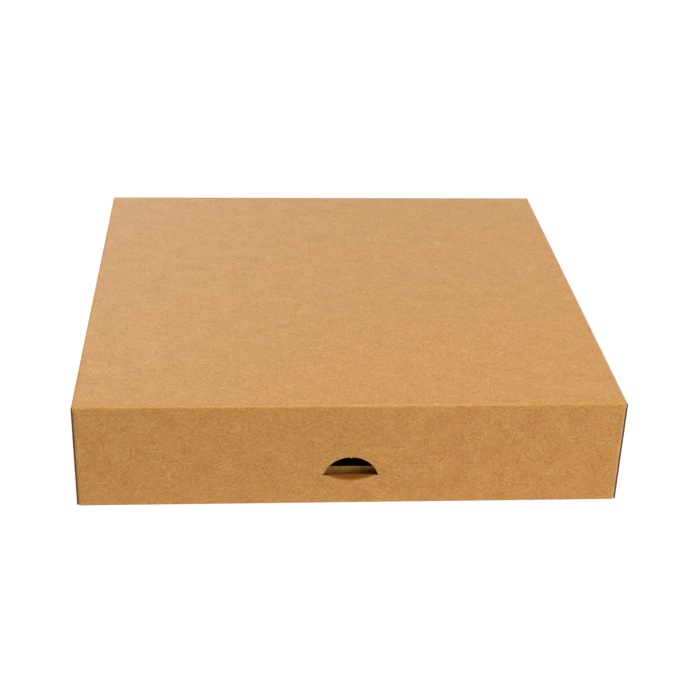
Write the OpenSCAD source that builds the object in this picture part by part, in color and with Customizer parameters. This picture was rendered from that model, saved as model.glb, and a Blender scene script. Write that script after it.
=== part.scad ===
// Pastry box of plain kraft board, folded up from one sheet and glued at its corners.
// A low-fronted tray stands on the table. The lid is a full-height cap over it, hinged
// on the crease along the top of the tray's rear wall, with a half-moon finger hole.
// The origin is under the middle of the box. The front faces -Y and +Z is up.

/* [Box] */
// Width of the closed box
box_w = 305; // [200:1:420]
// Depth of the closed box, front to back
box_d = 305; // [200:1:420]
// Height of the closed box
box_h = 63.5; // [45:0.5:120]

/* [Board] */
// Thickness of the board
board = 0.8; // [0.5:0.1:1.2]
// Outside radius of a crease
crease_r = 1.6; // [1.4:0.1:3]

/* [Glued corners] */
// Length of a glue tab, measured from the face of its wall
tab_len = 32; // [15:1:60]
// How much lower the far end of a tab is, at its top and at its bottom
tab_taper = 5; // [2:0.5:8]
// Strip of wall left between a crease and the start of the tabs
tab_trim = 1.5; // [0.5:0.5:4]
// How far the cut end of a side wall lies behind the face that it meets
end_setback = 0.7; // [0.3:0.1:1.5]

/* [Lid] */
// Room between the lid's tabs and the tray, on each side
side_play = 0.6; // [0.4:0.1:2]
// Room between the lid's front wall and the tray's front wall
front_play = 5; // [1:0.1:10]
// Room between the lid's top and the tray's side walls
top_play = 0.3; // [0.3:0.1:2]
// Height of the lid's cut edges above the table
lid_lift = 0.4; // [0.3:0.1:3]

/* [Hinge crease] */
// Room between the tray's rear corner and the lid's crease, above it and at its ends
hinge_play = 0.3; // [0.3:0.1:1]

/* [Finger hole] */
// Width of the half-moon along its straight edge
hole_w = 31; // [20:0.5:60]
// Height of the half-moon
hole_h = 11.9; // [8:0.1:20]
// Height of its straight edge above the table
hole_z = 18.4; // [10:0.1:20]
// How far the hole sits to the right of the middle
hole_shift = 0; // [-20:0.1:20]
// Width of the nick that held the waste piece, left at the top of the arc
nick_w = 2; // [0.8:0.1:4]
// Height of that nick
nick_h = 0.8; // [0.4:0.1:2]

/* [Tray] */
// Height of the tray's low front wall
tray_front_h = 20.7; // [16:0.1:30]

/* [Hidden] */
$fn = 64;
cut = 0.1;
kraft = [0.74, 0.55, 0.35];
kraft_inside = [0.70, 0.51, 0.32];

// The lid: its front wall stands between its two side walls.
lid_wall_h = box_h - lid_lift;
lid_front_w = box_w - 2 * board;

// The tray: its sides stand inside the lid's tabs, and its front inside the lid's front.
tray_w = lid_front_w - 2 * (board + side_play);
tray_end_w = tray_w - 2 * board;
tray_front_y = -box_d / 2 + board + front_play;
tray_side_h = box_h - board - top_play;
tray_rear_h = box_h - crease_r - hinge_play;

// The half-moon is a segment of this circle.
hole_r = (hole_w * hole_w / 4 + hole_h * hole_h) / (2 * hole_h);

// A quarter ring of board round the origin, in the upper left quadrant.
module bend_section() {
    intersection() {
        difference() {
            circle(crease_r);
            circle(crease_r - board);
        }
        translate([-crease_r, 0])
            square(crease_r);
    }
}

// Runs a section drawn in Y and Z from side to side, centred on the middle of the box.
module along_x(length) {
    rotate([90, 0, 90])
        translate([0, 0, -length / 2])
            linear_extrude(length)
                children();
}

// Runs a section drawn in X and Z backwards, from y = from to y = to.
module along_y(from, to) {
    translate([0, to, 0])
        rotate([90, 0, 0])
            linear_extrude(to - from)
                children();
}

// Draws its children and their mirror image on the other side of the box.
module both_sides() {
    children();
    mirror([1, 0, 0])
        children();
}

// Side wall of a folded box with its top crease, seen along the box: the crease's outside
// corner is at the origin, the flat panel starts at x = crease_r and the wall hangs down.
module side_wall_section(height) {
    translate([crease_r, -crease_r])
        bend_section();
    translate([0, -height])
        square([board, height - crease_r]);
}

// Glue tab, standing along Y from the end of its corner bend to the tab's length.
module glue_tab(bottom, top) {
    rotate([90, 0, 90])
        linear_extrude(board)
            polygon([
                [crease_r, bottom],
                [tab_len, bottom + tab_taper],
                [tab_len, top - tab_taper],
                [crease_r, top]
            ]);
}

// A front or rear wall of a box that stands on z = 0 with its outer face at y = 0. It is
// folded up from the floor panel, and its tabs are folded back along the side walls.
module end_wall(width, height) {
    tab_bottom = crease_r + tab_trim;
    along_x(width)
        translate([crease_r, crease_r])
            mirror([0, 1])
                bend_section();
    translate([-width / 2, 0, crease_r])
        cube([width, board, tab_trim]);
    translate([-width / 2 + crease_r, 0, tab_bottom])
        cube([width - 2 * crease_r, board, height - tab_bottom]);
    both_sides() {
        translate([-width / 2 + crease_r, crease_r, tab_bottom])
            linear_extrude(height - tab_bottom)
                mirror([0, 1])
                    bend_section();
        translate([-width / 2, 0, 0])
            glue_tab(tab_bottom, height);
    }
}

// Half-moon that the finger goes through, less the nick at the top of its arc.
module finger_hole() {
    translate([hole_shift, -box_d / 2 - cut, hole_z])
        rotate([90, 0, 0])
            translate([0, 0, -board - 2 * cut])
                linear_extrude(board + 2 * cut)
                    difference() {
                        intersection() {
                            translate([0, hole_h - hole_r])
                                circle(hole_r);
                            translate([-hole_w / 2, 0])
                                square([hole_w, hole_h]);
                        }
                        translate([-nick_w / 2, hole_h - nick_h])
                            square([nick_w, nick_h]);
                    }
}

module lid() {
    color(kraft)
        difference() {
            union() {
                translate([-box_w / 2 + crease_r, -box_d / 2 + crease_r, box_h - board])
                    cube([box_w - 2 * crease_r, box_d - 2 * crease_r, board]);
                both_sides()
                    along_y(-box_d / 2 + end_setback, box_d / 2 - end_setback)
                        translate([-box_w / 2, box_h])
                            side_wall_section(lid_wall_h);
                translate([0, -box_d / 2, box_h])
                    mirror([0, 0, 1])
                        end_wall(lid_front_w, lid_wall_h);
                translate([0, box_d / 2 - crease_r, box_h - crease_r])
                    mirror([0, 1, 0])
                        along_x(tray_end_w - 2 * hinge_play)
                            bend_section();
            }
            finger_hole();
        }
}

module tray() {
    color(kraft_inside) {
        translate([-tray_w / 2 + crease_r, tray_front_y + crease_r, 0])
            cube([tray_w - 2 * crease_r, box_d / 2 - crease_r - tray_front_y - crease_r, board]);
        both_sides()
            along_y(tray_front_y + end_setback, box_d / 2 - end_setback)
                translate([-tray_w / 2, 0])
                    mirror([0, 1])
                        side_wall_section(tray_side_h);
        translate([0, tray_front_y, 0])
            end_wall(tray_end_w, tray_front_h);
        translate([0, box_d / 2, 0])
            mirror([0, 1, 0])
                end_wall(tray_end_w, tray_rear_h);
    }
}

tray();
lid();
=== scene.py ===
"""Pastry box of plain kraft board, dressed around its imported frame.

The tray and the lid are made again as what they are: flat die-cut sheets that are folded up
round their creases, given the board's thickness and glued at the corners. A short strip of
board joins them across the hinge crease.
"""

import math

import bmesh
import bpy
from mathutils import Matrix, Vector


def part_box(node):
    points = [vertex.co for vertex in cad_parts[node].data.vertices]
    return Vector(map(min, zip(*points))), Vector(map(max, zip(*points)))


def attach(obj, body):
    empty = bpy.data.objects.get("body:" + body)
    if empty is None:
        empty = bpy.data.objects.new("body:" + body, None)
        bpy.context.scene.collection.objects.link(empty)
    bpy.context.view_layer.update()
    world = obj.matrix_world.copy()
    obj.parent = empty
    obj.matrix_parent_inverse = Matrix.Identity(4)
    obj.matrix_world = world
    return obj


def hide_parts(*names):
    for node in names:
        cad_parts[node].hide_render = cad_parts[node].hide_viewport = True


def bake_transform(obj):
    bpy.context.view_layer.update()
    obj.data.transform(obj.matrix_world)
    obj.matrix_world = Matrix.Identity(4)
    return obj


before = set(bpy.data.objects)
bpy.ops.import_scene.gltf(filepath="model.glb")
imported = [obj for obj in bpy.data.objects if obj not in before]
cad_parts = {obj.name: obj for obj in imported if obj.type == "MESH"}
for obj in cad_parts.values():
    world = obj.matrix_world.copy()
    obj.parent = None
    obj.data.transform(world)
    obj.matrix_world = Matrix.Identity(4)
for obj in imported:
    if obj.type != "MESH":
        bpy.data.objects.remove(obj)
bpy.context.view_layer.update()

# Sizes, in metres. What the frame can give is read from it. A wall's crease takes up FOLD_ARC
# of the flat sheet and CREASE_R of the wall's height, so the flat is FOLD_GAIN longer.
lid_low, lid_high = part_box("lid")
tray_low, tray_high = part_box("tray")
BOARD = 0.0008
CREASE_R = 0.0016
FOLD_ARC = CREASE_R * math.pi / 2
FOLD_GAIN = FOLD_ARC - CREASE_R
END_SETBACK = 0.0007
TAB_LENGTH = 0.032
TAB_TAPER = 0.005
TAB_TRIM = 0.0015
TRAY_FRONT_HEIGHT = 0.0207
HINGE_PLAY = 0.0003
HINGE_STRIP = 0.003
HOLE_WIDTH = 0.031
HOLE_HEIGHT = 0.0119
HOLE_LIP = 0.0184
NICK_WIDTH = 0.002
NICK_HEIGHT = 0.0008

box_width = lid_high.x - lid_low.x
box_depth = lid_high.y - lid_low.y
box_height = lid_high.z
tray_width = tray_high.x - tray_low.x
tray_depth = tray_high.y - tray_low.y
lid_wall_height = lid_high.z - lid_low.z
tray_side_height = tray_high.z
tray_rear_height = box_height - CREASE_R - HINGE_PLAY
strip_bottom = box_height - CREASE_R - HINGE_STRIP

# Spacing of the score lines, and the closest that two of them may come. The hole's arc is
# cut in ARC_STEPS short lines a side, from fine cells that reach HOLE_MARGIN past it.
COARSE_STEP = 0.006
FINE_STEP = 0.0006
FOLD_STEPS = 8
ARC_STEPS = 24
HOLE_MARGIN = 0.003
ROUNDING = 0.000001
SAME_LINE = 0.00001
MERGE_WITHIN = 0.000001
SHARP_ANGLE = math.radians(40)

# The pressed-in lip under the finger hole.
DENT_HALF_WIDTH = 0.0153
DENT_DROP = 0.0040
DENT_ANGLE = math.radians(45)

# Turns a front wall into a rear one, and a box's floor into its top.
MIRROR_Y = Matrix.Scale(-1, 4, (0, 1, 0))
MIRROR_Z = Matrix.Scale(-1, 4, (0, 0, 1))


def spread(start, end, step):
    """Evenly spaced values from start to end, no further apart than step."""
    count = max(1, math.ceil(abs(end - start) / step - ROUNDING))
    return [start + (end - start) * i / count for i in range(count + 1)]


def panel_lines(half_width, marks):
    """Score lines across a panel. Sheets of different widths share them, and have a line at
    each of the marks, so that their edges meet point by point."""
    inside = [m for m in marks if m < half_width - SAME_LINE]
    last = math.floor((min(marks) - COARSE_STEP / 4) / COARSE_STEP)
    half = [i * COARSE_STEP for i in range(last + 1)] + inside + [half_width]
    return half + [-x for x in half]


def round_fold(past):
    """Where a point of the sheet goes that lies this far past the start of a fold:
    how far on it gets, and how far it has turned away from the flat."""
    if past <= 0:
        return past, 0.0
    turn = min(past / CREASE_R, math.pi / 2)
    straight = max(past - FOLD_ARC, 0.0)
    return CREASE_R * math.sin(turn), CREASE_R * (1 - math.cos(turn)) + straight


def fold_share(past):
    """1 in the middle of a fold, and 0 at its ends and beyond them."""
    share = past / FOLD_ARC
    return math.sin(math.pi * share) if 0 < share < 1 else 0.0


def cut(bm, faces, point, normal, **options):
    """Cuts some of a sheet's faces with the plane through point that is square to normal."""
    edges = dict.fromkeys(e for f in faces for e in f.edges)
    verts = dict.fromkeys(v for f in faces for v in f.verts)
    bmesh.ops.bisect_plane(
        bm, geom=[*verts, *edges, *faces], dist=1e-7, plane_co=point, plane_no=normal, **options
    )


def score(bm, across, along, within=lambda c: True):
    """Scores a flat sheet along every line of across, in X, and of along, in Y, where the
    middle of its cells lies within the part asked for."""
    for lines, normal in ((across, Vector((1, 0, 0))), (along, Vector((0, 1, 0)))):
        for value in lines:
            cells = [f for f in bm.faces if within(f.calc_center_median())]
            cut(bm, cells, normal * value, normal)


def flat_sheet(across, along):
    """A flat sheet that ends at the outermost of its score lines. Its faces look down,
    because the outside of the board is underneath while it is folded up."""
    across = sorted({round(x, 7) for x in across})
    along = sorted({round(y, 7) for y in along})
    bm = bmesh.new()
    bmesh.ops.create_grid(bm, x_segments=1, y_segments=1, size=0.5)
    size = Vector((across[-1] - across[0], along[-1] - along[0], 1))
    middle = Vector(((across[-1] + across[0]) / 2, (along[-1] + along[0]) / 2, 0))
    bmesh.ops.scale(bm, vec=size, verts=bm.verts)
    bmesh.ops.translate(bm, vec=middle, verts=bm.verts)
    score(bm, across[1:-1], along[1:-1])
    bmesh.ops.reverse_faces(bm, faces=bm.faces)
    return bm


def cut_line(bm, start, end):
    """Cuts the cells of a flat sheet that lie along the line from start to end."""
    middle = (start + end) / 2
    reach = (end - start).length / 2 + 1.5 * FINE_STEP
    near = [f for f in bm.faces if (f.calc_center_median() - middle).length < reach]
    cut(bm, near, start, (end - start).cross(Vector((0, 0, 1))).normalized())


def cut_half_moon(bm, lip):
    """Cuts the finger hole in a flat sheet, with its straight edge at Y = lip: a segment of a
    circle, less the nick at the top of its arc that held the waste while it was cut."""
    radius = (HOLE_WIDTH ** 2 / 4 + HOLE_HEIGHT ** 2) / (2 * HOLE_HEIGHT)
    centre = Vector((0, lip + HOLE_HEIGHT - radius, 0))
    half_turn = math.acos(1 - HOLE_HEIGHT / radius)
    turns = spread(-half_turn, half_turn, half_turn / ARC_STEPS)
    arc = [centre + radius * Vector((math.sin(a), math.cos(a), 0)) for a in turns]
    for start, end in zip(arc, arc[1:]):
        cut_line(bm, start, end)
    tip = Vector((0, lip + HOLE_HEIGHT - NICK_HEIGHT, 0))
    for sign in (-1, 1):
        cut_line(bm, tip, Vector((sign * NICK_WIDTH / 2, lip + HOLE_HEIGHT, 0)))
    slope = 2 * NICK_HEIGHT / NICK_WIDTH

    def is_hole(c):
        in_arc = all(
            (end - start).cross(c - start).z < 0 for start, end in zip(arc, arc[1:])
        )
        return c.y > lip and in_arc and c.y < tip.y + slope * abs(c.x)

    drop_waste(bm, is_hole)


def drop_waste(bm, is_waste):
    """Removes the cells of a flat sheet whose middle is waste."""
    waste = [f for f in bm.faces if is_waste(f.calc_center_median())]
    bmesh.ops.delete(bm, geom=waste, context="FACES")


def fold_up(bm, place):
    """Folds a flat sheet: place gives a point's position and its share of a fold. The flat
    position stays on the sheet as its UV map, so the board's grain runs on round the folds."""
    flat = bm.loops.layers.uv.new("sheet")
    crease = bm.verts.layers.float.new("crease")
    for face in bm.faces:
        for loop in face.loops:
            loop[flat].uv = loop.vert.co.xy
    for vert in bm.verts:
        vert.co, vert[crease] = place(vert.co.x, vert.co.y)
    return bm


def side(value):
    """-1 for a value on the left, and 1 for any other."""
    return -1.0 if value < 0 else 1.0


def wrap_sheet(width, depth, height, marks):
    """Floor panel with a side wall folded up along each side. The floor's outer face is at
    z = 0. The side walls start END_SETBACK behind y = 0 and stop as far short of the depth."""
    start = width / 2 - CREASE_R
    reach = start + FOLD_ARC + height - CREASE_R
    half = spread(start, start + FOLD_ARC, FOLD_ARC / FOLD_STEPS)
    half += spread(start + FOLD_ARC, reach, COARSE_STEP)
    rear = depth - CREASE_R
    along = spread(END_SETBACK, CREASE_R, CREASE_R) + spread(CREASE_R, rear, COARSE_STEP)
    along += spread(rear, depth - END_SETBACK, CREASE_R)
    bm = flat_sheet(panel_lines(start, marks) + half + [-x for x in half], along)
    drop_waste(bm, lambda c: abs(c.x) < start and not CREASE_R < c.y < rear)

    def place(u, v):
        out, up = round_fold(abs(u) - start)
        return Vector((side(u) * (start + out), v, up)), fold_share(abs(u) - start)

    return fold_up(bm, place)


def crease_sheet(width, marks, rise=TAB_TRIM):
    """Bottom crease of an end wall, and the strip of wall that rises above it before its
    tabs begin. The wall's outer face is at y = 0, and the crease ends at y = CREASE_R."""
    along = spread(0, FOLD_ARC, FOLD_ARC / FOLD_STEPS) + [FOLD_ARC + rise]
    bm = flat_sheet(panel_lines(width / 2, marks), [-v for v in along])

    def place(u, v):
        forward, up = round_fold(-v)
        return Vector((u, CREASE_R - forward, up)), fold_share(-v)

    return fold_up(bm, place)


def wall_sheet(width, height, marks, hole=None, open_top=None):
    """End wall above its crease, with both glue tabs folded back. hole is how far above the
    crease the straight edge of the finger hole lies. open_top is the height at which the
    wall itself stops while its corners and tabs go on up."""
    start = width / 2 - CREASE_R
    reach = start + FOLD_ARC + TAB_LENGTH - CREASE_R
    half = spread(start, start + FOLD_ARC, FOLD_ARC / FOLD_STEPS)
    half += spread(start + FOLD_ARC, reach, COARSE_STEP)
    low = CREASE_R + TAB_TRIM
    levels = spread(low, height, COARSE_STEP)
    if hole:
        high, deep = hole - HOLE_HEIGHT - HOLE_MARGIN, hole + DENT_DROP + HOLE_MARGIN
        levels += [high, hole, deep]
    if open_top:
        levels.append(open_top)
    bm = flat_sheet(
        panel_lines(start, marks) + half + [-x for x in half], [-(z + FOLD_GAIN) for z in levels]
    )
    if hole:
        window = math.ceil(HOLE_WIDTH / 2 / COARSE_STEP) * COARSE_STEP
        fine = spread(high, hole, FINE_STEP) + spread(hole, deep, FINE_STEP)[1:]
        score(
            bm, spread(-window, window, FINE_STEP)[1:-1], [-(z + FOLD_GAIN) for z in fine[1:-1]],
            lambda c: abs(c.x) < window and high < -c.y - FOLD_GAIN < deep,
        )
        cut_half_moon(bm, -(hole + FOLD_GAIN))
    if open_top:
        drop_waste(bm, lambda c: abs(c.x) < start and -c.y - FOLD_GAIN > open_top)
    taper = TAB_TAPER / (TAB_LENGTH - CREASE_R)
    for sign in (-1, 1):
        for level, lean in ((low, taper), (height, -taper)):
            tab = [f for f in bm.faces if sign * f.calc_center_median().x > start + FOLD_ARC]
            corner = Vector((sign * (start + FOLD_ARC), -(level + FOLD_GAIN), 0))
            away = Vector((sign * lean, 1, 0)) * side(lean)
            cut(bm, tab, corner, away, clear_outer=True)

    def place(u, v):
        out, back = round_fold(abs(u) - start)
        height_of = -v - FOLD_GAIN
        return Vector((side(u) * (start + out), back, height_of)), fold_share(abs(u) - start)

    return fold_up(bm, place)


def joined(parts):
    """One sheet from (part, matrix) pairs, with the edges that meet merged. A part that its
    matrix turns inside out has its faces turned back."""
    whole = bmesh.new()
    for part, matrix in parts:
        bmesh.ops.transform(part, matrix=matrix, verts=part.verts)
        if matrix.determinant() < 0:
            bmesh.ops.reverse_faces(part, faces=part.faces)
        copy = bpy.data.meshes.new("part")
        part.to_mesh(copy)
        part.free()
        whole.from_mesh(copy)
        bpy.data.meshes.remove(copy)
    bmesh.ops.remove_doubles(whole, verts=whole.verts, dist=MERGE_WITHIN)
    return whole


def add_object(name, data):
    """Adds an object with this data to the scene."""
    added = bpy.data.objects.new(name, data)
    bpy.context.scene.collection.objects.link(added)
    return added


def board_object(name, bm, finishes):
    """A piece of board from a sheet that is its outer face: the outer face takes the first
    finish, the inner face the second and the cut edges the third."""
    mesh = bpy.data.meshes.new(name)
    bm.to_mesh(mesh)
    bm.free()
    piece = add_object(name, mesh)
    for finish in finishes:
        mesh.materials.append(finish)
    thick = piece.modifiers.new("thickness", "SOLIDIFY")
    thick.thickness = BOARD
    thick.offset = -1
    thick.use_even_offset = True
    thick.material_offset = 1
    thick.material_offset_rim = 2
    return piece


def settle(piece):
    """Applies the piece's modifiers, and shades its bends smooth and its cut edges sharp."""
    graph = bpy.context.evaluated_depsgraph_get()
    graph.update()
    made = bpy.data.meshes.new_from_object(piece.evaluated_get(graph), depsgraph=graph)
    piece.modifiers.clear()
    old, piece.data = piece.data, made
    made.name = piece.name
    bpy.data.meshes.remove(old)
    made.shade_smooth()
    made.set_sharp_from_angle(angle=SHARP_ANGLE)
    return piece


def press_lip(mesh):
    """Pushes the board under the finger hole in, most at the middle of the lip."""
    for vert in mesh.vertices:
        if vert.co.y > lid_low.y + 2 * BOARD:
            continue
        across = vert.co.x / DENT_HALF_WIDTH
        drop = DENT_DROP * (1 - across * across)
        up = vert.co.z - (HOLE_LIP - drop)
        if abs(across) >= 1 or not 0 < up < drop + SAME_LINE:
            continue
        radius = drop / DENT_ANGLE
        turn = up / radius
        vert.co.y += radius * (1 - math.cos(turn))
        vert.co.z += radius * math.sin(turn) - up


class Value:
    """A shader socket. An expression on it adds the Math nodes that work it out."""

    def __init__(self, tree, socket):
        self.tree = tree
        self.socket = socket

    def math(self, operation, *others, clamp=False, swap=False):
        node = self.tree.nodes.new("ShaderNodeMath")
        node.operation = operation
        node.use_clamp = clamp
        terms = [self, *others]
        if swap:
            terms.reverse()
        for slot, term in zip(node.inputs, terms):
            if isinstance(term, Value):
                self.tree.links.new(term.socket, slot)
            else:
                slot.default_value = term
        return Value(self.tree, node.outputs[0])

    def __add__(self, other):
        return self.math("ADD", other)

    def __sub__(self, other):
        return self.math("SUBTRACT", other)

    def __mul__(self, other):
        return self.math("MULTIPLY", other)

    def __truediv__(self, other):
        return self.math("DIVIDE", other)

    def __rsub__(self, other):
        return self.math("SUBTRACT", other, swap=True)

    def __rtruediv__(self, other):
        return self.math("DIVIDE", other, swap=True)

    __radd__ = __add__
    __rmul__ = __mul__

    def clamped(self):
        return self.math("ADD", 0.0, clamp=True)


class Finish:
    """A material and the nodes that make it."""

    def __init__(self, name):
        self.material = bpy.data.materials.new(name)
        self.material.use_nodes = True
        self.tree = self.material.node_tree
        self.tree.nodes.clear()

    def node(self, kind, settings=None, inputs=None):
        """Adds a node, sets what it is, then sets or links its sockets."""
        node = self.tree.nodes.new(kind)
        for name, value in (settings or {}).items():
            setattr(node, name, value)
        for name, value in (inputs or {}).items():
            if isinstance(value, Value):
                self.tree.links.new(value.socket, node.inputs[name])
            else:
                node.inputs[name].default_value = value
        return node

    def out(self, node, name=0):
        """One of a node's outputs, for use in expressions."""
        return Value(self.tree, node.outputs[name])

    def mix(self, share, first, second):
        """Colour that goes from first to second as share goes from 0 to 1."""
        node = self.node("ShaderNodeMix", {"data_type": "RGBA"})
        for index, value in ((0, share), (6, first), (7, second)):
            if isinstance(value, Value):
                self.tree.links.new(value.socket, node.inputs[index])
            else:
                node.inputs[index].default_value = value
        return Value(self.tree, node.outputs[2])

    def step(self, value, low, high):
        """0 below low and 1 above high, and smooth between them."""
        node = self.node(
            "ShaderNodeMapRange",
            {"interpolation_type": "SMOOTHSTEP"},
            {"Value": value, "From Min": low, "From Max": high},
        )
        return self.out(node)

    def scaled(self, place, scale):
        """The place times scale, which is three numbers per metre."""
        node = self.node(
            "ShaderNodeVectorMath", {"operation": "MULTIPLY"}, {0: place, 1: scale}
        )
        return self.out(node)

    def noise(self, place, scale, detail, roughness=0.55):
        """Noise with cells of about one unit of the scaled place."""
        node = self.node(
            "ShaderNodeTexNoise",
            inputs={
                "Vector": self.scaled(place, scale), "Scale": 1.0,
                "Detail": detail, "Roughness": roughness,
            },
        )
        return self.out(node)

    def board(self, colour, roughness, height, specular=0.5, sheen=0.0):
        """Paper shader with a fine relief that follows height."""
        bumped = self.node(
            "ShaderNodeBump",
            inputs={"Strength": RELIEF_STRENGTH, "Distance": RELIEF_DEPTH, "Height": height},
        )
        shader = self.node(
            "ShaderNodeBsdfPrincipled",
            inputs={
                "Base Color": colour, "Roughness": roughness, "Normal": self.out(bumped),
                "Specular IOR Level": specular,
                "Sheen Weight": sheen, "Sheen Roughness": SHEEN_ROUGHNESS,
            },
        )
        return self.out(shader)

    def either(self, share, first, second):
        """Shader that goes from first to second as share goes from 0 to 1."""
        node = self.node("ShaderNodeMixShader", inputs={0: share, 1: first, 2: second})
        return self.out(node)

    def done(self, shader):
        """Ends the material with this shader."""
        self.node("ShaderNodeOutputMaterial", inputs={"Surface": shader})
        return self.material


# Kraft board: its colours, and its noise in cells per metre across and along the sheet.
KRAFT_PALE = (0.597, 0.314, 0.072, 1)
KRAFT_MID = (0.506, 0.238, 0.038, 1)
KRAFT_DARK = (0.423, 0.169, 0.011, 1)
KRAFT_ROSE = (0.530, 0.226, 0.052, 1)
KRAFT_SPECK = (0.20, 0.085, 0.025, 1)
# Painted shade: the crescent under the finger hole is coloured darker for the shade in the
# pressed-in lip.
KRAFT_LIP_SHADE = (0.225, 0.068, 0.009, 1)
# Cut edge: darker than the face as cut board is, and darker still as painted shade for the
# recessed edges beside the corners.
CUT_PALE = (0.20, 0.080, 0.018, 1)
CUT_DARK = (0.10, 0.036, 0.009, 1)
CLOUD_SCALE = (75, 85, 1)
MOTTLE_SCALE = (250, 290, 1)
FLECK_SCALE = (680, 740, 1)
GRAIN_SCALE = (1500, 1700, 1)
TINT_SCALE = (95, 110, 7)
SPECK_SCALE = (150, 210, 1)
EDGE_LAYER_SCALE = (900, 900, 900)
EDGE_FLECK_SCALE = (5000, 5000, 5000)
FLECK_ROUGHNESS = 0.8
EDGE_LAYER_ROUGHNESS = 0.6

# How far each noise moves the board's tone, which goes from 0, dark, over 0.5 to 1, pale.
CLOUD_WEIGHT = 0.85
MOTTLE_WEIGHT = 0.85
FLECK_WEIGHT = 2.5
GRAIN_WEIGHT = 0.5

# How strongly the other colours are laid on, and the values between which each one comes in:
# of its noise for the rose, of a cell's own lot and of the distance from its middle for the
# specks, and in metres past the outline and the lip for the painted shade under the finger hole.
ROSE_SHARE = 0.5
ROSE_COMES_IN = (0.4, 0.7)
SPECK_SHARE = 0.55
SPECK_LOT = (0.80, 0.86)
SPECK_RADIUS = (0.03, 0.085)
# Paler colour along the creases: partly stretched fibres, partly a painted highlight.
CREASE_SHARE = 0.2
# Where the painted shade under the finger hole comes in, past the outline and at the lip.
LIP_SHADE_OUTLINE = (-0.0002, 0.0019)
LIP_SHADE_EDGE = (-0.0004, 0.0)

# Cut edge: the part that its layers have in its tone, and where that turns pale.
LAYER_SHARE = 0.7
LAYER_COMES_IN = (0.3, 0.7)

# Surface of the board. The relief follows the flecks by this share, and the grain by the rest.
FLECK_RELIEF = 0.6
RELIEF_STRENGTH = 0.08
RELIEF_DEPTH = 0.0002
FACE_ROUGHNESS = 0.52
FACE_SHEEN = 0.53
SHEEN_ROUGHNESS = 0.35
MATT_ROUGHNESS = 0.9


def kraft_face(name, shaded_lip=False):
    """Uncoated brown kraft board: cloudy stock with fine flecks and grain, patches that lean
    to rose, a few dark specks, and a paler colour along the creases that is partly stretched
    fibres and partly a painted highlight."""
    finish = Finish(name)
    sheet = finish.out(finish.node("ShaderNodeUVMap", {"uv_map": "sheet"}))
    crease = finish.out(
        finish.node("ShaderNodeAttribute", {"attribute_name": "crease"}), "Fac"
    )
    cloud = finish.noise(sheet, CLOUD_SCALE, 2)
    mottle = finish.noise(sheet, MOTTLE_SCALE, 1)
    fleck = finish.noise(sheet, FLECK_SCALE, 1, FLECK_ROUGHNESS)
    grain = finish.noise(sheet, GRAIN_SCALE, 1)
    tone = 0.5 + (cloud - 0.5) * CLOUD_WEIGHT + (mottle - 0.5) * MOTTLE_WEIGHT
    tone = (tone + (fleck - 0.5) * FLECK_WEIGHT + (grain - 0.5) * GRAIN_WEIGHT).clamped()
    colour = finish.mix(finish.step(tone, 0.0, 0.5), KRAFT_DARK, KRAFT_MID)
    colour = finish.mix(finish.step(tone, 0.5, 1.0), colour, KRAFT_PALE)
    tint = finish.noise(sheet, TINT_SCALE, 2)
    colour = finish.mix(finish.step(tint, *ROSE_COMES_IN) * ROSE_SHARE, colour, KRAFT_ROSE)
    spot = finish.node(
        "ShaderNodeTexVoronoi",
        inputs={"Vector": finish.scaled(sheet, SPECK_SCALE), "Scale": 1.0, "Randomness": 1.0},
    )
    lot = finish.node("ShaderNodeSeparateColor", inputs={0: finish.out(spot, "Color")})
    rare = finish.step(finish.out(lot), *SPECK_LOT)
    speck = (1 - finish.step(finish.out(spot, "Distance"), *SPECK_RADIUS)) * rare
    colour = finish.mix(speck * SPECK_SHARE, colour, KRAFT_SPECK)
    # Paler, stretched fibres and a painted highlight along the creases.
    colour = finish.mix((crease * CREASE_SHARE).clamped(), colour, KRAFT_PALE)
    height = fleck * FLECK_RELIEF + grain * (1 - FLECK_RELIEF)
    face = finish.board(colour, FACE_ROUGHNESS, height, sheen=FACE_SHEEN)
    # Painted shade: the crescent under the finger hole gets a darker colour and no reflection,
    # for the shade in the pressed-in lip.
    if shaded_lip:
        painted_shade = finish.board(KRAFT_LIP_SHADE, MATT_ROUGHNESS, height, specular=0.0)
        face = finish.either(lip_shade_share(finish, sheet), face, painted_shade)
    return finish.done(face)


def lip_shade_share(finish, sheet):
    """Share of the crescent under the finger hole that is painted darker, as shade."""
    parts = finish.node("ShaderNodeSeparateXYZ", inputs={0: sheet})
    lip = HOLE_LIP - (box_height + FOLD_GAIN)
    across = finish.out(parts, 0) / DENT_HALF_WIDTH
    reach = (1 - across * across) * DENT_DROP
    below = lip - finish.out(parts, 1)
    inside = finish.step(reach - below, *LIP_SHADE_OUTLINE)
    on_lip = finish.step(below, *LIP_SHADE_EDGE)
    return inside * on_lip


def cut_edge():
    """Die-cut edge of the board: darker than the face, partly as cut board is and partly as
    painted shade, with a fine uneven grain.
    """
    finish = Finish("cut_edge")
    place = finish.out(finish.node("ShaderNodeTexCoord"), "Object")
    layer = finish.noise(place, EDGE_LAYER_SCALE, 4, EDGE_LAYER_ROUGHNESS)
    fleck = finish.noise(place, EDGE_FLECK_SCALE, 2)
    tone = layer * LAYER_SHARE + fleck * (1 - LAYER_SHARE)
    colour = finish.mix(finish.step(tone, *LAYER_COMES_IN), CUT_DARK, CUT_PALE)
    return finish.done(finish.board(colour, MATT_ROUGHNESS, fleck, specular=0.0))


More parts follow.
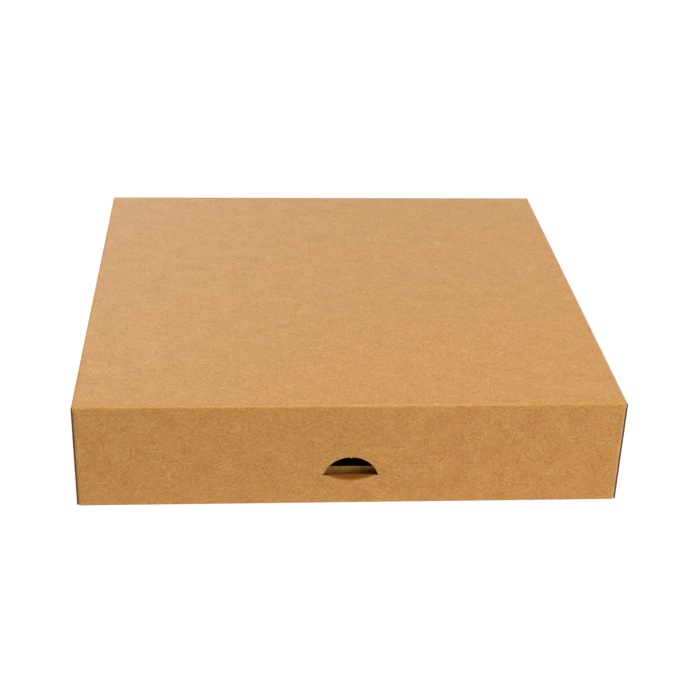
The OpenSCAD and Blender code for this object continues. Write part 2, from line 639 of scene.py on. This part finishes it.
def make_tray(finishes):
    """Floor and sides in one sheet, with a low front wall and a full rear one."""
    end_width = tray_width - 2 * BOARD
    marks = (tray_width / 2 - CREASE_R, end_width / 2 - CREASE_R)
    to_front = Matrix.Translation((0, tray_low.y, 0))
    to_rear = Matrix.Translation((0, tray_high.y, 0)) @ MIRROR_Y
    return board_object(
        "tray_board",
        joined([
            (wrap_sheet(tray_width, tray_depth, tray_side_height, marks), to_front),
            (crease_sheet(end_width, marks), to_front),
            (wall_sheet(end_width, TRAY_FRONT_HEIGHT, marks), to_front),
            (crease_sheet(end_width, marks), to_rear),
            (wall_sheet(end_width, tray_rear_height, marks, open_top=strip_bottom), to_rear),
        ]),
        finishes,
    )


def make_lid(finishes):
    """Top and sides in one sheet, turned over, with the front wall that has the finger hole,
    and at the rear no more than the crease that the strip joins."""
    end_width = box_width - 2 * BOARD
    rear_width = tray_width - 2 * (BOARD + HINGE_PLAY)
    marks = (box_width / 2 - CREASE_R, end_width / 2 - CREASE_R, rear_width / 2)
    to_front = Matrix.Translation((0, lid_low.y, box_height)) @ MIRROR_Z
    to_rear = Matrix.Translation((0, lid_high.y, box_height)) @ MIRROR_Y @ MIRROR_Z
    lid = board_object(
        "lid_board",
        joined([
            (wrap_sheet(box_width, box_depth, lid_wall_height, marks), to_front),
            (crease_sheet(end_width, marks), to_front),
            (wall_sheet(end_width, lid_wall_height, marks, box_height - HOLE_LIP), to_front),
            (crease_sheet(rear_width, marks, rise=0), to_rear),
        ]),
        finishes,
    )
    settle(lid)
    press_lip(lid.data)
    return lid


def make_hinge_strip(finishes):
    """Strip of board across the hinge crease, from the rear wall up to the lid's crease."""
    half = tray_width / 2 - BOARD - CREASE_R
    top = box_height - CREASE_R
    levels = [-(z + FOLD_GAIN) for z in spread(strip_bottom, top, HINGE_STRIP / 10)]
    bm = flat_sheet(spread(-half, half, COARSE_STEP), levels)
    sheet = fold_up(bm, lambda u, v: (Vector((u, 0, -v - FOLD_GAIN)), 0.5))
    to_rear = Matrix.Translation((0, tray_high.y, 0)) @ MIRROR_Y
    return board_object("hinge_strip", joined([(sheet, to_rear)]), finishes)


outside = kraft_face("kraft_outside")
# This copy of the outside board has painted shade in the crescent under the finger hole.
outside_lip_shaded = kraft_face("kraft_outside_with_painted_lip_shade", shaded_lip=True)
inside = kraft_face("kraft_inside")
edge = cut_edge()

tray = settle(make_tray([outside, inside, edge]))
lid = make_lid([outside_lip_shaded, inside, edge])
strip = settle(make_hinge_strip([outside, inside, edge]))

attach(tray, "tray")
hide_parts("tray")
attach(lid, "lid")
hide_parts("lid")
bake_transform(strip)


# Studio: a white floor in white surroundings, and three softboxes. The largest share of the
# light comes from above the front, less from low on the right and a little from behind.
IMAGE_SIZE = 700
CAMERA_PLACE = (-0.0614, -0.8122, 0.4469)
CAMERA_YAW = 0.0772
CAMERA_PITCH = 0.4856
CAMERA_ROLL = 0.0312
CAMERA_SHIFT = 0.02
FOCAL_PIXELS = 1405.4
SENSOR_WIDTH = 36
FLOOR_REACH = 6
FLOOR_DROP = 0.0002
FLOOR_WHITE = (0.9, 0.9, 0.9, 1)
FLOOR_FAINT = (0.22, 0.22, 0.22, 1)
FLOOR_LIFT = 0.86
LIFT_STARTS = 0.4
LIFT_ENDS = 1.5
AMBIENT = 0.15


def make_camera():
    """Camera fitted to the corners of the box in the photo, which was cropped off centre."""
    data = bpy.data.cameras.new("camera")
    camera = add_object("camera", data)
    forward = Vector((
        math.sin(CAMERA_YAW) * math.cos(CAMERA_PITCH),
        math.cos(CAMERA_YAW) * math.cos(CAMERA_PITCH),
        -math.sin(CAMERA_PITCH),
    ))
    level = Vector((math.cos(CAMERA_YAW), -math.sin(CAMERA_YAW), 0))
    above = level.cross(forward)
    right = level * math.cos(CAMERA_ROLL) + above * math.sin(CAMERA_ROLL)
    up = above * math.cos(CAMERA_ROLL) - level * math.sin(CAMERA_ROLL)
    turn = Matrix((right, up, -forward)).transposed()
    camera.matrix_world = Matrix.Translation(CAMERA_PLACE) @ turn.to_4x4()
    data.sensor_width = SENSOR_WIDTH
    data.lens = FOCAL_PIXELS / IMAGE_SIZE * SENSOR_WIDTH
    data.shift_x = CAMERA_SHIFT
    data.clip_start = 0.01
    data.clip_end = 50
    bpy.context.scene.camera = camera


def soft_light(name, place, size, watts, colour=(1, 1, 1)):
    """Round softbox that faces the box."""
    data = bpy.data.lights.new(name, "AREA")
    data.shape = "DISK"
    data.size = size
    data.energy = watts
    data.color = colour
    light = add_object(name, data)
    light.location = place
    aim = Vector((0, 0, box_height / 2)) - Vector(place)
    light.rotation_euler = aim.to_track_quat("-Z", "Y").to_euler()
    light.visible_camera = False
    return light


def make_floor():
    """White floor. The camera sees it lifted to white with a faint shadow left in it."""
    bm = bmesh.new()
    bmesh.ops.create_grid(bm, x_segments=1, y_segments=1, size=FLOOR_REACH)
    bmesh.ops.translate(bm, vec=Vector((0, 0, -FLOOR_DROP)), verts=bm.verts)
    mesh = bpy.data.meshes.new("floor")
    bm.to_mesh(mesh)
    bm.free()
    floor = add_object("floor", mesh)
    finish = Finish("white_floor")
    path = finish.node("ShaderNodeLightPath")
    seen = finish.out(path, "Is Camera Ray")
    plain = finish.node("ShaderNodeBsdfDiffuse", inputs={"Color": FLOOR_WHITE})
    faint = finish.node("ShaderNodeBsdfDiffuse", inputs={"Color": FLOOR_FAINT})
    place = finish.out(finish.node("ShaderNodeTexCoord"), "Object")
    radius = finish.node("ShaderNodeVectorMath", {"operation": "LENGTH"}, {0: place})
    far = finish.step(finish.out(radius, "Value"), LIFT_STARTS, LIFT_ENDS)
    glow = FLOOR_LIFT + (1 - FLOOR_LIFT) * far
    lift = finish.node("ShaderNodeEmission", inputs={"Strength": glow})
    lifted = finish.node(
        "ShaderNodeAddShader", inputs={0: finish.out(faint), 1: finish.out(lift)}
    )
    finish.done(finish.either(seen, finish.out(plain), finish.out(lifted)))
    mesh.materials.append(finish.material)


def make_world():
    """Even white surroundings: white to the camera and in reflections, softer as light."""
    world = bpy.data.worlds.new("studio")
    bpy.context.scene.world = world
    world.use_nodes = True
    tree = world.node_tree
    tree.nodes.clear()
    path = tree.nodes.new("ShaderNodeLightPath")
    seen = Value(tree, path.outputs["Is Camera Ray"])
    glossy = Value(tree, path.outputs["Is Glossy Ray"])
    direct = seen.math("MAXIMUM", glossy)
    strength = direct * (1 - AMBIENT) + AMBIENT
    background = tree.nodes.new("ShaderNodeBackground")
    background.inputs["Color"].default_value = (1, 1, 1, 1)
    tree.links.new(strength.socket, background.inputs["Strength"])
    output = tree.nodes.new("ShaderNodeOutputWorld")
    tree.links.new(background.outputs[0], output.inputs["Surface"])


make_camera()
make_floor()
make_world()
soft_light(
    "overhead_light", place=(-0.05, -0.50, 1.9), size=0.9, watts=27.4, colour=(0.975, 1.0, 0.985)
)
right_light = soft_light(
    "right_light", place=(1.6, -0.8, 0.5), size=0.9, watts=22.5, colour=(1.0, 0.94, 1.0)
)
# Kept out of reflections, where its glare would whiten the top when seen from behind.
right_light.visible_glossy = False
soft_light("rear_left_light", place=(-0.5, 1.5, 0.85), size=1.0, watts=4.2)
bpy.context.scene.view_settings.view_transform = "Standard"
